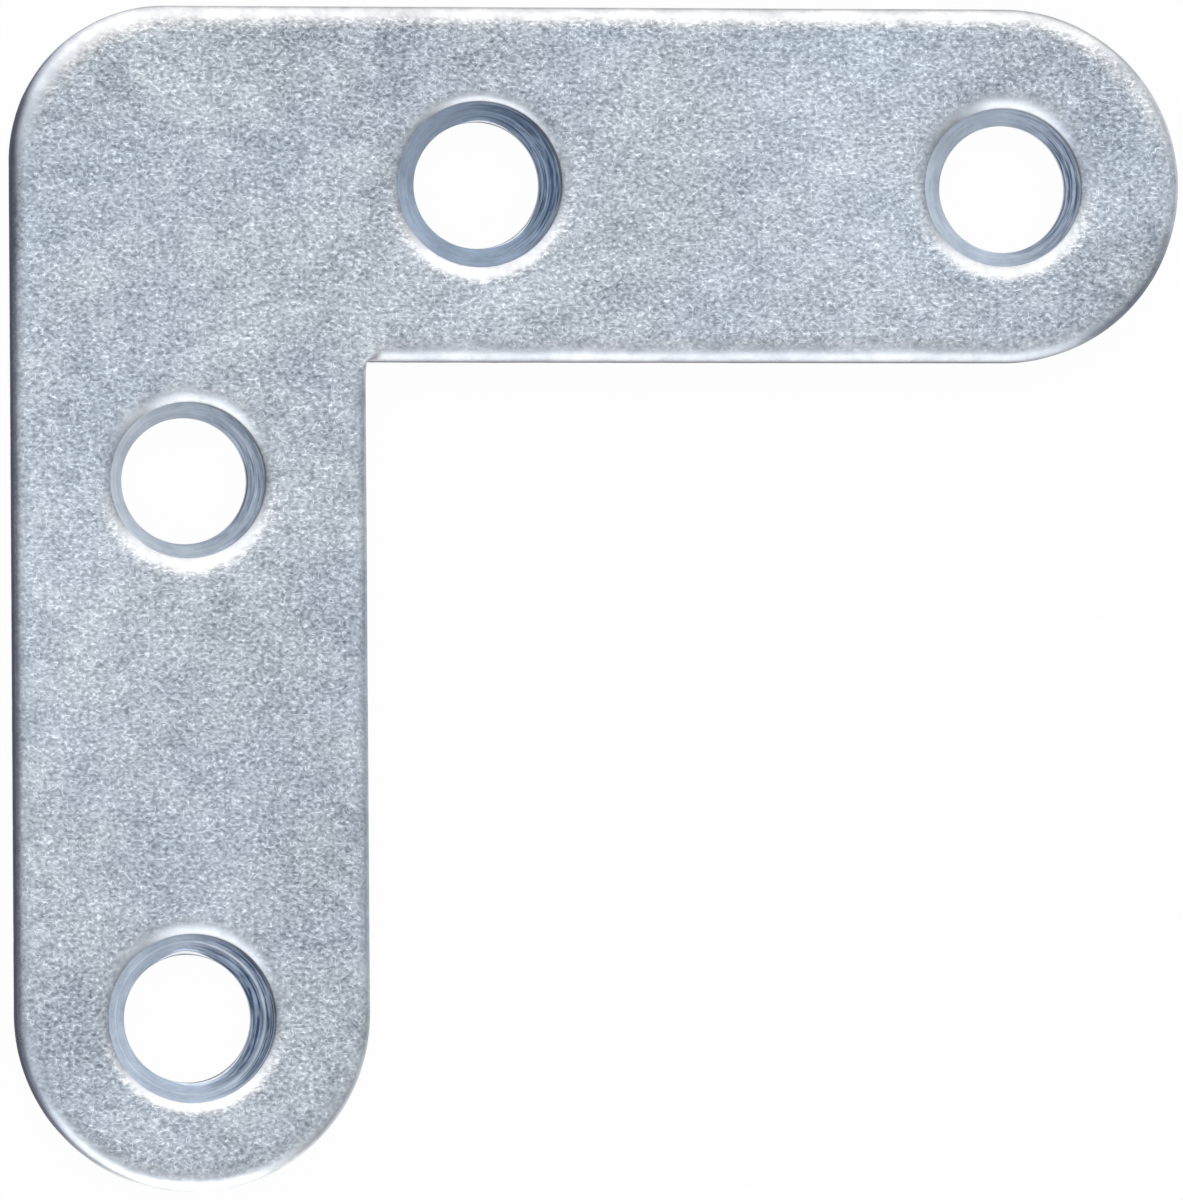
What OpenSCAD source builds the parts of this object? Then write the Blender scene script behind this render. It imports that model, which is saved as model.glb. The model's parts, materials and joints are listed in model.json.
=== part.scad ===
// Flat corner bracket, blanked from zinc-plated steel sheet.
// The back face lies on Z = 0 and the countersunk face looks up along +Z.
// The origin is where the centre lines of the two arms cross, on the back face.
// One arm runs along +X and the other along -Y.

/* [Plate] */
// Length of each arm, along its outer edge
arm_length = 50; // [45:1:120]
// Width of each arm
arm_width = 15; // [14:0.5:22]
// Thickness of the sheet
thickness = 2; // [1.8:0.1:3]
// Radius of the rounded outer corner
corner_r = 6.5; // [2:0.5:10]
// Radius that the blanking die rolls on the edges of the face
edge_roll = 0.6; // [0.2:0.1:0.8]

/* [Screw holes] */
// Diameter of each hole at its narrowest
hole_d = 5.3; // [3.5:0.1:5.5]
// Diameter of the countersink where its rolled lip begins
mouth_d = 7; // [6.2:0.1:7.4]
// Radius of the rolled lip around the countersink
lip_roll = 0.7; // [0.3:0.1:0.9]
// Height of the straight land, above the break-out
land_height = 0.25; // [0.1:0.05:0.3]
// Height of the flared break-out at the back face
breakout_height = 0.12; // [0.05:0.01:0.2]
// How far the break-out flares past the wall of the hole
breakout_flare = 0.06; // [0.02:0.01:0.1]
// Distance from the outer edge to the hole nearer the corner
inner_hole = 20; // [18:0.5:24]
// Distance from the end of the arm to the other hole
end_hole = 7.5; // [7:0.5:12]

/* [Hidden] */
$fn = 96;

half_width = arm_width / 2;
hole_r = hole_d / 2;
mouth_r = mouth_d / 2;

// Places along an arm, measured from the crossing of the centre lines
end_centre = arm_length - arm_width;
hole_places = [inner_hole - half_width, arm_length - half_width - end_hole];

// Centre of the quarter disc that rounds the outer corner, on both axes
corner_offset = half_width - corner_r;

// Heights where the land starts and stops
land_bottom = breakout_height;
land_top = breakout_height + land_height;

// Slope of the countersink: it runs from the top of the land to the tangent
// point on the lip, so the angle comes from a right triangle with the lip's
// centre. The angle is taken from the hole's axis.
lip_rise = thickness - lip_roll - land_top;
cone_run = mouth_r - hole_r;
cone_angle = cone_angle_from(cone_run, lip_rise, lip_roll);

// Point where the countersink meets the lip, and centre line of the lip
mouth_z = thickness - lip_roll + lip_roll * sin(cone_angle);
lip_centre_r = mouth_r + lip_roll * cos(cone_angle);

// How far the cutting tools stand out past the faces they cut
overshoot = 0.5;

// Colour of the blue-passivated zinc
zinc = [0.71, 0.745, 0.785];

// Angle a for which run = (rise + lip * sin(a)) * tan(a)
function cone_angle_from(run, rise, lip, low = 0, high = 60, steps = 40) =
    let (middle = (low + high) / 2)
    steps == 0
        ? middle
        : (rise + lip * sin(middle)) * tan(middle) > run
            ? cone_angle_from(run, rise, lip, low, middle, steps - 1)
            : cone_angle_from(run, rise, lip, middle, high, steps - 1);

// Half of the sheet's section: it reaches out from the axis to a rolled edge
module rolled_section(reach) {
    square([reach, thickness - edge_roll]);
    square([reach - edge_roll, thickness]);
    translate([reach - edge_roll, thickness - edge_roll])
        circle(r = edge_roll);
}

// Straight stretch of an arm along +X, rolled on both long edges
module straight_arm(from, to) {
    translate([from, 0, 0])
        rotate([90, 0, 90])
            linear_extrude(height = to - from) {
                rolled_section(half_width);
                mirror([1, 0])
                    rolled_section(half_width);
            }
}

// Half disc that rounds the end of an arm along +X
module round_end() {
    translate([end_centre, 0, 0])
        rotate([0, 0, -90])
            rotate_extrude(angle = 180)
                rolled_section(half_width);
}

// One arm, from the outer corner's round to its own round end
module arm() {
    straight_arm(-corner_offset, end_centre);
    round_end();
}

// Quarter disc that rounds the outer corner, on the -X +Y side
module outer_corner() {
    translate([-corner_offset, corner_offset, 0])
        rotate([0, 0, 90])
            rotate_extrude(angle = 90)
                rolled_section(corner_r);
}

// The blank before its holes are pressed
module blank() {
    arm();
    mirror([1, 1, 0])
        arm();
    outer_corner();
}

// Section of the tool that pierces and countersinks a hole, from its axis out
module hole_section() {
    flare_slope = breakout_flare / breakout_height;
    difference() {
        polygon([
            [0, -overshoot],
            [hole_r + flare_slope * (breakout_height + overshoot), -overshoot],
            [hole_r, land_bottom],
            [hole_r, land_top],
            [mouth_r, mouth_z],
            [lip_centre_r, thickness],
            [lip_centre_r, thickness + overshoot],
            [0, thickness + overshoot]
        ]);
        translate([lip_centre_r, thickness - lip_roll])
            circle(r = lip_roll);
    }
}

// Tool for one hole, standing on its axis
module screw_hole() {
    rotate_extrude()
        hole_section();
}

// Tools for the holes of both arms
module screw_holes() {
    for (place = hole_places) {
        translate([place, 0, 0])
            screw_hole();
        translate([0, -place, 0])
            screw_hole();
    }
}

// The whole bracket: one pressed plate
module corner_plate() {
    color(zinc)
        difference() {
            blank();
            screw_holes();
        }
}

corner_plate();
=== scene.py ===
# Looks of a flat corner bracket: one plate, blanked and pressed from steel sheet, then
# zinc plated and passivated pale blue. Shapes are worked out in millimetres, in the
# frame's own axes, and turned into metres when they become a mesh.
import json
import math

import bpy
import numpy as np
from mathutils import Matrix, Vector, noise
from mathutils.geometry import delaunay_2d_cdt


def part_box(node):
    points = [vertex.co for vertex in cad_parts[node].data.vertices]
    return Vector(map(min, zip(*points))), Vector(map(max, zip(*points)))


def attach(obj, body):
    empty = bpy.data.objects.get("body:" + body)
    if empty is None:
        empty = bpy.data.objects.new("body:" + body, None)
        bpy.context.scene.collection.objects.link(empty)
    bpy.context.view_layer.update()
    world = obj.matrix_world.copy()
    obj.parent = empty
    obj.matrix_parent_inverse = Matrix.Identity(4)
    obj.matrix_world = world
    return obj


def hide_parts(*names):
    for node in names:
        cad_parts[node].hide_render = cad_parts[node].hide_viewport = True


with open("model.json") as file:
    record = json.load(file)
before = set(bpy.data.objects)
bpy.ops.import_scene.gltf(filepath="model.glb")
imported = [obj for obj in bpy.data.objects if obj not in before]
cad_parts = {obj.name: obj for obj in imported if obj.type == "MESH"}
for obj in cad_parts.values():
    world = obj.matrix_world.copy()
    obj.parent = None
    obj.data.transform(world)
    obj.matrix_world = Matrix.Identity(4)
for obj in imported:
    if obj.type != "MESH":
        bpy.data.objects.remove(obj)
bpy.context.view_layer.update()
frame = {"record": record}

MM = 0.001

# Plate sizes that follow the frame
plate_low, plate_high = [[c / MM for c in corner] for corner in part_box("corner_plate")]
HALF_WIDTH = -plate_low[0]
THICKNESS = plate_high[2]
END_CENTRE = plate_high[0] - HALF_WIDTH

# Corners of the blank
OUTER_CORNER_R = 6.5
INNER_CORNER_R = 0.12
CORNER_OFFSET = HALF_WIDTH - OUTER_CORNER_R

# The rolled edge: how far it reaches in over the face, how deep it would be if it turned
# all the way down, how softly it leaves the face, how much of it there is above the side
# wall's sharp top, over what length it dies out at the inner corner and down to how little.
# It is larger by some shares on the sides that face along X, on those that face -Y and round
# the outer corner, and uneven by a share over some length. It is ironed smooth by its share
# of the whole slope, raised to a power.
ROLL_REACH = 1.06
ROLL_DEPTH = 0.6
ROLL_SOFTNESS = 2.3
ROLL_END = 0.94
ROLL_RUNOUT = 0.36
ROLL_LEAST = 0.08
ROLL_STEPS = 16
ROLL_SIDE_MORE = 0.11
ROLL_LOW_MORE = 0.08
ROLL_CORNER_MORE = 0.5
ROLL_UNEVEN = 0.12
ROLL_UNEVEN_LENGTH = 4.0
ROLL_IRONING = 2

# Stretches of the edge with a look of their own: the middle of each in degrees from +X, how
# narrow it is and how strong. The roll keeps some of the face's grain on the left and on the
# right. Its outer rim has painted shade on the left and at the right end, and painted
# highlights at the foot and a little at the right end. The wall below it has painted
# highlights at the foot and the outer corner.
GRAIN_LEFT = dict(side=180, narrowness=4, strength=0.7)
GRAIN_RIGHT = dict(side=0, narrowness=1, strength=0.6)
SHADE_LEFT = dict(side=180, narrowness=0.5, strength=1)
SHADE_END = dict(side=-40, narrowness=6, strength=0.6)
HIGHLIGHT_FOOT = dict(side=-75, narrowness=3, strength=1)
HIGHLIGHT_END = dict(side=12, narrowness=5, strength=0.42)
WALL_HIGHLIGHT_FOOT = dict(side=-90, narrowness=4, strength=1.25)
WALL_HIGHLIGHT_CORNER = dict(side=112, narrowness=8, strength=0.6)

# The share of the roll's slope from which its rim has painted shade on the left, painted shade
# at the right end, and painted highlights
SHADE_LEFT_FROM = 0.82
SHADE_END_FROM = 0.7
HIGHLIGHT_FROM = 0.55

# What was pressed is painted greyer than the face, as painted highlight, where it slopes
# towards +Y, fully so from this share of the slope on, and by this much where it slopes
# towards -Y
GREY_SOON = 0.5
GREY_BELOW = 0.6

# The face also droops a little towards its edges
DROOP_DEPTH = 0.02
DROOP_REACH = 1.5

# The burnished upper part of the side wall: its share of the wall, and the share of it at
# which its first ring lies, just clear of the roll's last
BURNISH_SHARE = 0.6
BURNISH_STEPS = 4
BURNISH_FROM = 0.02

# The torn lower part: how far it tapers in, how rough and how fine it is, the waves of its
# upper end, and the bevel below it at the back
TEAR_STEPS = 9
TEAR_TAPER = 0.065
TEAR_ROUGHNESS = 0.016
TEAR_FINENESS = 0.3
TEAR_WAVES = (
    dict(depth=0.18, length=1.1, seed=3),
    dict(depth=0.1, length=0.35, seed=4),
)
BACK_BEVEL = 0.05

# Edges that turn by more than this, in degrees, are shaded sharp
SHARP_FROM = 26

# Spacing of points along the outline and over the two faces, and how many such spacings the
# points over a face keep clear of its rims
OUTLINE_STEP = 0.28
FACE_STEP = 0.3
BACK_STEP = 1.5
FACE_CLEARANCE = 0.6

# Points nearer than this count as one, and triangles of half this area or less are left out
SAME_PLACE = 1e-7
NO_AREA = 1e-12

# Unevenness of the rolled sheet
WAVE_DEPTH = 0.004
WAVE_LENGTH = 2.6

# Noise in the shapes: its layers, how much finer each is than the last and by what power of
# that it is fainter, how far apart in it two seeds lie, and the seeds
NOISE_LAYERS = 3
NOISE_FINER = 2.0
NOISE_FAINTER = 1.0
SEED_SHIFT = (17.3, 5.1, 11.7)
WAVE_SEED = 1
ROLL_SEED = 2
TEAR_SEED = 5
FIRST_HOLE_SEED = 6

# The pressed holes: the points round each, the slope of its lip where that meets the wall, in
# degrees, the steps over the lip, the power by which it is ironed smooth, and how much of the
# face's grain it keeps on its left and right
HOLE_SEGMENTS = 144
LIP_SLOPE = 38
LIP_STEPS = 14
LIP_IRONING = 1.5
LIP_GRAIN = 0.75

# The countersink below the lip: its steps, and the share of it at which its first ring lies,
# just clear of the lip's last; how deep the tool's lines in it are, how far apart, and how
# much they change round the hole
CONE_STEPS = 44
CONE_FROM = 0.006
TOOL_LINE_DEPTH = 0.006
TOOL_LINE_PITCH = 0.11
TOOL_LINE_DRIFT = 0.6

# The straight land below that, and the break-out at the back: its height, how far it flares,
# and the share of the flare that it has at half its height
LAND_HEIGHT = 0.25
BREAKOUT_HEIGHT = 0.12
BREAKOUT_FLARE = 0.06
BREAKOUT_MIDDLE = 0.4
LAND_TOP = BREAKOUT_HEIGHT + LAND_HEIGHT

# How much of the walls' colours the rims of the back face still have
BACK_RIM_PAINT = 0.5

# The ledge round the land's top: its least width, how much wider it is where its painted
# highlight is full, and the shares of its width between which it is level and carries that
# painted highlight
LEDGE_LEAST = 0.008
LEDGE_FULL = 0.05
LEDGE_OUTER = 0.85
LEDGE_EDGE = 0.35

# Painted shade in the crease where each lip meets its bore: where on the lip it starts, how far
# down the bore's wall it fades, and the side in degrees from +X where it is darkest
CREASE_FROM = 0.93
CREASE_REACH = 0.12
CREASE_SIDE = 30

# Painted shade on one side of the bores' walls, where the tool also scored them: how narrow
# that side is, how much the tool's lines show in it, how bright the painted highlights on the
# lines between are, what is taken off that and how narrow their side is
SHADED_SIDE_NARROWNESS = 0.9
SHADE_TOOL_LINES = 1.0
LINE_HIGHLIGHT_STRENGTH = 0.5
LINE_HIGHLIGHT_LESS = 0.2
LINE_HIGHLIGHT_NARROWNESS = 0.5

# The ridge that runs clear of the scoring's painted shade: where down the wall it is, how wide
# its clean band and its painted highlight line are, and how much of that line shows all round
RIDGE_PLACE = 0.44
RIDGE_WIDTH = 0.1
RIDGE_HIGHLIGHT_WIDTH = 0.045
RIDGE_ALL_ROUND = 0.3

# Painted shade and painted light on the bores' walls: the side where they are darker, the side
# where they are lighter near the top and how far down that fades, and how strong the painted
# shade in the crease at their foot is and where it starts. Sides are in degrees from +X.
DARKER_SIDE = 125
TOP_LIGHT = dict(side=185, narrowness=4, strength=0.26)
TOP_LIGHT_REACH = 0.6
FOOT_SHADE = 0.4
FOOT_FROM = 0.93

# Each pressed hole came out a little different. bore_off and mouth_off: how far its bore and
# its mouth sit off the frame's bore. bore_more: how much wider than the frame's its bore is.
# lip: width of its lip, and how much wider that is towards lip_side. shade: how bright the
# painted shade of its wall is. darker: how much darker that painted shade is at the top left.
# pale: how much less blue it is. scored: how darkly its wall is painted as shade
# round shaded_side, where the tool also scored it. ridge: how clear of that its ridge is.
# lines: how deep the tool lines are. ledges: side, narrowness and width of the ledges left
# round the bore's top. Sides are in degrees from +X.
HOLES = {
    "screw_hole_x_inner": dict(
        bore_off=(-0.03, 0.025), bore_more=0.035, mouth_d=7.04, mouth_off=(-0.09, -0.005),
        lip=0.7, lip_more=0.1, lip_side=-75, shade=0.74, darker=0.26, pale=0.0,
        scored=0.95, shaded_side=18, ridge=0.0, lines=1.5, ledges=((80, 16, 0.09), (-52, 12, 0.08))),
    "screw_hole_x_outer": dict(
        bore_off=(0.095, -0.075), bore_more=0.055, mouth_d=6.74, mouth_off=(-0.09, -0.08),
        lip=0.9, lip_more=0.1, lip_side=90, shade=1.02, darker=0.24, pale=0.8,
        scored=0.75, shaded_side=0, ridge=0.2, lines=1.1, ledges=()),
    "screw_hole_y_inner": dict(
        bore_off=(-0.105, -0.01), bore_more=0.015, mouth_d=6.6, mouth_off=(-0.105, -0.03),
        lip=0.88, lip_more=0.0, lip_side=0, shade=0.98, darker=0.2, pale=1.0,
        scored=0.55, shaded_side=10, ridge=0.3, lines=0.8, ledges=()),
    "screw_hole_y_outer": dict(
        bore_off=(-0.105, -0.19), bore_more=0.045, mouth_d=7.12, mouth_off=(-0.08, -0.21),
        lip=0.74, lip_more=0.13, lip_side=62, shade=1.02, darker=0.17, pale=0.7,
        scored=1.0, shaded_side=10, ridge=0.68, lines=1.3, ledges=((92, 18, 0.17), (-66, 7, 0.13))),
}


class Shell:
    """The plate's surface, gathered ring by ring, with what is painted on each point."""

    PAINTS = ("wall", "torn", "bore", "ironed", "greyed", "crease", "slant", "shade", "pale",
              "scored", "bright")

    def __init__(self):
        self.points = []
        self.paints = {name: [] for name in self.PAINTS}
        self.faces = []

    def add(self, x, y, z, **paints):
        """Adds points and returns their numbers."""
        x, y, z = np.broadcast_arrays(x, y, z)
        first = sum(len(block) for block in self.points)
        self.points.append(np.column_stack([x, y, z]))
        for name in self.PAINTS:
            value = np.broadcast_to(paints.get(name, 0.0), x.shape)
            self.paints[name].append(value)
        return np.arange(first, first + len(x))

    def bridge(self, ring, following):
        """Joins two closed rings of equally many points with quads. They face outwards where
        the rings run from the face down to the back."""
        ahead, beyond = np.roll(ring, -1), np.roll(following, -1)
        self.faces.extend(np.column_stack([ring, following, beyond, ahead]).tolist())

    def mesh(self, name):
        """The gathered surface as a Blender mesh in metres."""
        data = bpy.data.meshes.new(name)
        data.from_pydata((np.concatenate(self.points) * MM).tolist(), [], self.faces)
        data.update()
        for paint, blocks in self.paints.items():
            layer = data.attributes.new(paint, "FLOAT", "POINT")
            layer.data.foreach_set("value", np.concatenate(blocks).astype(np.float32))
        return data


def stretch(start, end, outward, step):
    """Points along a straight edge, each with its outward direction."""
    start, end = np.array(start), np.array(end)
    count = max(1, round(float(np.linalg.norm(end - start)) / step))
    share = np.arange(count)[:, None] / count
    return start + share * (end - start), np.tile(outward, (count, 1))


def bend(centre, radius, first, last, step, outward=1):
    """Points along an arc, in degrees, each with its outward direction."""
    count = max(4, round(math.radians(abs(last - first)) * radius / step))
    angle = np.radians(first + (last - first) * np.arange(count) / count)
    ray = np.column_stack([np.cos(angle), np.sin(angle)])
    return np.array(centre) + radius * ray, outward * ray


def outline(step):
    """The plate's outline, counter-clockwise, and the outward direction at each point."""
    inner = HALF_WIDTH + INNER_CORNER_R
    pieces = [
        stretch((inner, -HALF_WIDTH), (END_CENTRE, -HALF_WIDTH), (0, -1), step),
        bend((END_CENTRE, 0), HALF_WIDTH, -90, 90, step),
        stretch((END_CENTRE, HALF_WIDTH), (-CORNER_OFFSET, HALF_WIDTH), (0, 1), step),
        bend((-CORNER_OFFSET, CORNER_OFFSET), OUTER_CORNER_R, 90, 180, step),
        stretch((-HALF_WIDTH, CORNER_OFFSET), (-HALF_WIDTH, -END_CENTRE), (-1, 0), step),
        bend((0, -END_CENTRE), HALF_WIDTH, 180, 360, step),
        stretch((HALF_WIDTH, -END_CENTRE), (HALF_WIDTH, -inner), (1, 0), step),
        bend((inner, -inner), INNER_CORNER_R, 180, 90, step, outward=-1),
    ]
    return np.concatenate([p for p, _ in pieces]), np.concatenate([n for _, n in pieces])


def fractal(points, length, seed):
    """Smooth noise between about -1 and 1 at each (x, y) or (x, y, z)."""
    shift = Vector([seed * part for part in SEED_SHIFT])
    flat = [Vector((*p, 0.0)[:3]) / length + shift for p in points.tolist()]
    return np.array([noise.fractal(v, NOISE_FAINTER, NOISE_FINER, NOISE_LAYERS) for v in flat])


def edge_distance(points, path):
    """Distance from each point to the nearest point of the outline."""
    gaps = [np.min(np.hypot(*(path - p).T)) for p in points]
    return np.array(gaps)


def face_drop(points, path):
    """How far the face lies below the plate's full thickness at each point."""
    droop = DROOP_DEPTH * np.exp(-edge_distance(points, path) / DROOP_REACH)
    waves = WAVE_DEPTH * (1 + fractal(points, WAVE_LENGTH, WAVE_SEED))
    return droop + np.maximum(waves, 0)


def inside(points, loop):
    """Whether each point lies inside a closed loop."""
    x, y = points[:, 0][:, None], points[:, 1][:, None]
    x0, y0 = loop[:, 0], loop[:, 1]
    x1, y1 = np.roll(x0, -1), np.roll(y0, -1)
    crosses = (y0 > y) != (y1 > y)
    with np.errstate(divide="ignore", invalid="ignore"):
        reach = (x1 - x0) * (y - y0) / (y1 - y0) + x0
    return (np.sum(crosses & (x < reach), axis=1) % 2).astype(bool)


def grid_points(loop, holes, step):
    """Points of a triangular grid that lie in the loop and clear of its edge and holes."""
    low, high = loop.min(axis=0), loop.max(axis=0)
    rows = np.arange(low[1], high[1], step * math.sqrt(3) / 2)
    starts = [low[0] + (row % 2) * step / 2 for row in range(len(rows))]
    grid = [(x, y) for start, y in zip(starts, rows) for x in np.arange(start, high[0], step)]
    grid = np.array(grid)
    grid = grid[inside(grid, loop)]
    grid = grid[edge_distance(grid, loop) > step * FACE_CLEARANCE]
    for hole in holes:
        centre = hole.mean(axis=0)
        radius = np.max(np.hypot(*(hole - centre).T))
        grid = grid[np.hypot(*(grid - centre).T) > radius + step * FACE_CLEARANCE]
    return grid


def fill(shell, outer, holes, step, height, upward):
    """Closes a flat face between its outer rim and the rims of its holes."""
    every = np.concatenate(shell.points)
    loops = [outer, *holes]
    flat = [every[ring][:, :2] for ring in loops]
    grid = grid_points(flat[0], flat[1:], step)
    number = np.concatenate([*loops, shell.add(grid[:, 0], grid[:, 1], height(grid))])
    coords = np.concatenate([*flat, grid])
    edges, first = [], 0
    for ring in loops:
        count = len(ring)
        edges += [(first + i, first + (i + 1) % count) for i in range(count)]
        first += count
    points = [Vector(p) for p in coords.tolist()]
    found = delaunay_2d_cdt(points, edges, [], 0, SAME_PLACE)
    origin = [group[0] for group in found[3]]
    triangles = np.array([[origin[v] for v in face] for face in found[2]])
    middle = coords[triangles].mean(axis=1)
    keep = inside(middle, flat[0])
    for hole in flat[1:]:
        keep &= ~inside(middle, hole)
    triangles = triangles[keep]
    a, b, c = (coords[triangles[:, i]] for i in range(3))
    turn = np.cross(b - a, c - a)
    triangles = triangles[np.abs(turn) > NO_AREA]
    turn = turn[np.abs(turn) > NO_AREA]
    wrong = (turn > 0) != upward
    triangles[wrong] = triangles[wrong][:, ::-1]
    shell.faces.extend(number[triangles].tolist())


def soft_quarter(share, softness):
    """Fall of a rolled edge from 0, where it leaves the face, to 1 at the wall."""
    return 1 - np.sqrt(np.maximum(0, 1 - share ** softness))


def past(share, start):
    """How far a share is past a start: 0 up to there, 1 where the share is whole."""
    return max(0, share - start) / (1 - start)


def fading(share, reach):
    """1 where a share is 0, fading to 0 at a reach."""
    return max(0, 1 - share / reach)


def bell(share, middle, width):
    """1 at the middle, fading to both sides over about that width."""
    return math.exp(-((share - middle) / width) ** 2)


def towards(angle, side, narrowness=1.0):
    """How far each angle points to a side given in degrees: 1 right at it, 0 a quarter off."""
    return np.maximum(0, np.cos(angle - math.radians(side))) ** narrowness


def strength_at(angle, place):
    """How strong something is at each angle that has its own side, narrowness and strength."""
    return place["strength"] * towards(angle, place["side"], place["narrowness"])


def greyness(share, up):
    """How grey the painted highlight makes the zinc at a share of a pressed slope that faces +Y
    by that much.
    """
    return np.where(up > 0, min(1, share / GREY_SOON) * up, GREY_BELOW * share * up ** 2)


def edge_looks(path, normal, from_round):
    """Along the edge: how strong the painted highlights on the roll and the wall are, how strong
    the painted shade on the roll's rim is on the left and at the right end, and how smoothly it
    was ironed."""
    side = np.arctan2(normal[:, 1], normal[:, 0])
    at_foot = path[:, 1] < -END_CENTRE
    at_end = path[:, 0] > END_CENTRE
    at_corner = np.exp(-(from_round / OUTER_CORNER_R) ** 4)
    # Painted highlights on the roll and the wall, and painted shade on the roll's rim
    highlight = np.where(at_foot, strength_at(side, HIGHLIGHT_FOOT), 0)
    highlight += np.where(at_end, strength_at(side, HIGHLIGHT_END), 0)
    wall_highlight = np.where(at_foot, np.minimum(1, strength_at(side, WALL_HIGHLIGHT_FOOT)), 0)
    wall_highlight += at_corner * strength_at(side, WALL_HIGHLIGHT_CORNER)
    left_rim_shade = strength_at(side, SHADE_LEFT) * (1 - wall_highlight)
    end_rim_shade = np.where(at_end, strength_at(side, SHADE_END), 0)
    grain_left = strength_at(side, GRAIN_LEFT) * (1 - at_corner)
    smooth = 1 - strength_at(side, GRAIN_RIGHT) - grain_left
    return highlight, wall_highlight, left_rim_shade, end_rim_shade, smooth


def wall_rings(shell, path, normal, top, highlight):
    """Rings of the side wall, from the roll's end at the heights in top down to the back."""
    waves = sum(wave["depth"] * fractal(path, wave["length"], wave["seed"]) for wave in TEAR_WAVES)
    tear = top * (1 - BURNISH_SHARE) * (1 + waves)
    rings = []
    for share in np.linspace(BURNISH_FROM, 1, BURNISH_STEPS):
        z = top + (tear - top) * share
        # Painted highlights on the burnished wall at the foot and the outer corner
        rings.append(shell.add(path[:, 0], path[:, 1], z, ironed=1, wall=1 - highlight, bright=highlight))
    for step in range(1, TEAR_STEPS + 1):
        share = step / TEAR_STEPS
        z = tear + (BACK_BEVEL - tear) * share
        rough = 1 + fractal(np.column_stack([path, z]), TEAR_FINENESS, TEAR_SEED)
        taper = TEAR_TAPER * math.sin(share * math.pi / 2)
        inward = taper + TEAR_ROUGHNESS * rough * math.sin(share * math.pi)
        spot = path - normal * inward[:, None]
        rings.append(shell.add(spot[:, 0], spot[:, 1], z, wall=1, torn=1))
    spot = path - normal * (TEAR_TAPER + BACK_BEVEL)
    rings.append(shell.add(spot[:, 0], spot[:, 1], 0, wall=BACK_RIM_PAINT))
    return rings


def add_edge(shell):
    """The rolled edge and side wall all round. Returns the outline, and the rims at the face
    and the back."""
    path, normal = outline(OUTLINE_STEP)
    from_corner = np.hypot(*(path - (HALF_WIDTH, -HALF_WIDTH)).T)
    open_share = 1 - np.exp(-(from_corner / ROLL_RUNOUT) ** 2)
    from_round = np.hypot(*(path - (-HALF_WIDTH, HALF_WIDTH)).T)
    more = 1 + ROLL_CORNER_MORE * np.exp(-(from_round / OUTER_CORNER_R) ** 2)
    uneven = 1 + ROLL_UNEVEN * fractal(path, ROLL_UNEVEN_LENGTH, ROLL_SEED)
    uneven *= 1 + ROLL_SIDE_MORE * np.abs(normal[:, 0])
    uneven *= 1 + ROLL_LOW_MORE * np.maximum(0, -normal[:, 1])
    reach = (ROLL_LEAST + (ROLL_REACH - ROLL_LEAST) * open_share) * uneven * more
    depth = (ROLL_LEAST + (ROLL_DEPTH - ROLL_LEAST) * open_share) * uneven
    highlight, wall_highlight, left_rim_shade, end_rim_shade, smooth = edge_looks(path, normal, from_round)
    rings = []
    for angle in np.linspace(0, math.pi / 2, ROLL_STEPS):
        share = math.sin(angle)
        spot = path - normal * (reach * (1 - share))[:, None]
        fall = soft_quarter(share * ROLL_END, ROLL_SOFTNESS)
        top = THICKNESS - depth * fall - face_drop(spot, path) * (1 - share)
        # The rim takes painted shade on the left and at the right end, painted highlights at the foot
        # and the right end
        rim_shade = left_rim_shade * past(share, SHADE_LEFT_FROM) + end_rim_shade * past(share, SHADE_END_FROM)
        # Painted highlight grey on the roll where it faces along Y
        rings.append(shell.add(spot[:, 0], spot[:, 1], top, wall=rim_shade,
                               ironed=share ** ROLL_IRONING * smooth,
                               greyed=greyness(share, normal[:, 1]),
                               bright=highlight * past(share, HIGHLIGHT_FROM)))
    rings += wall_rings(shell, path, normal, top, wall_highlight)
    for ring, following in zip(rings, rings[1:]):
        shell.bridge(ring, following)
    return path, rings[0], rings[-1]


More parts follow.
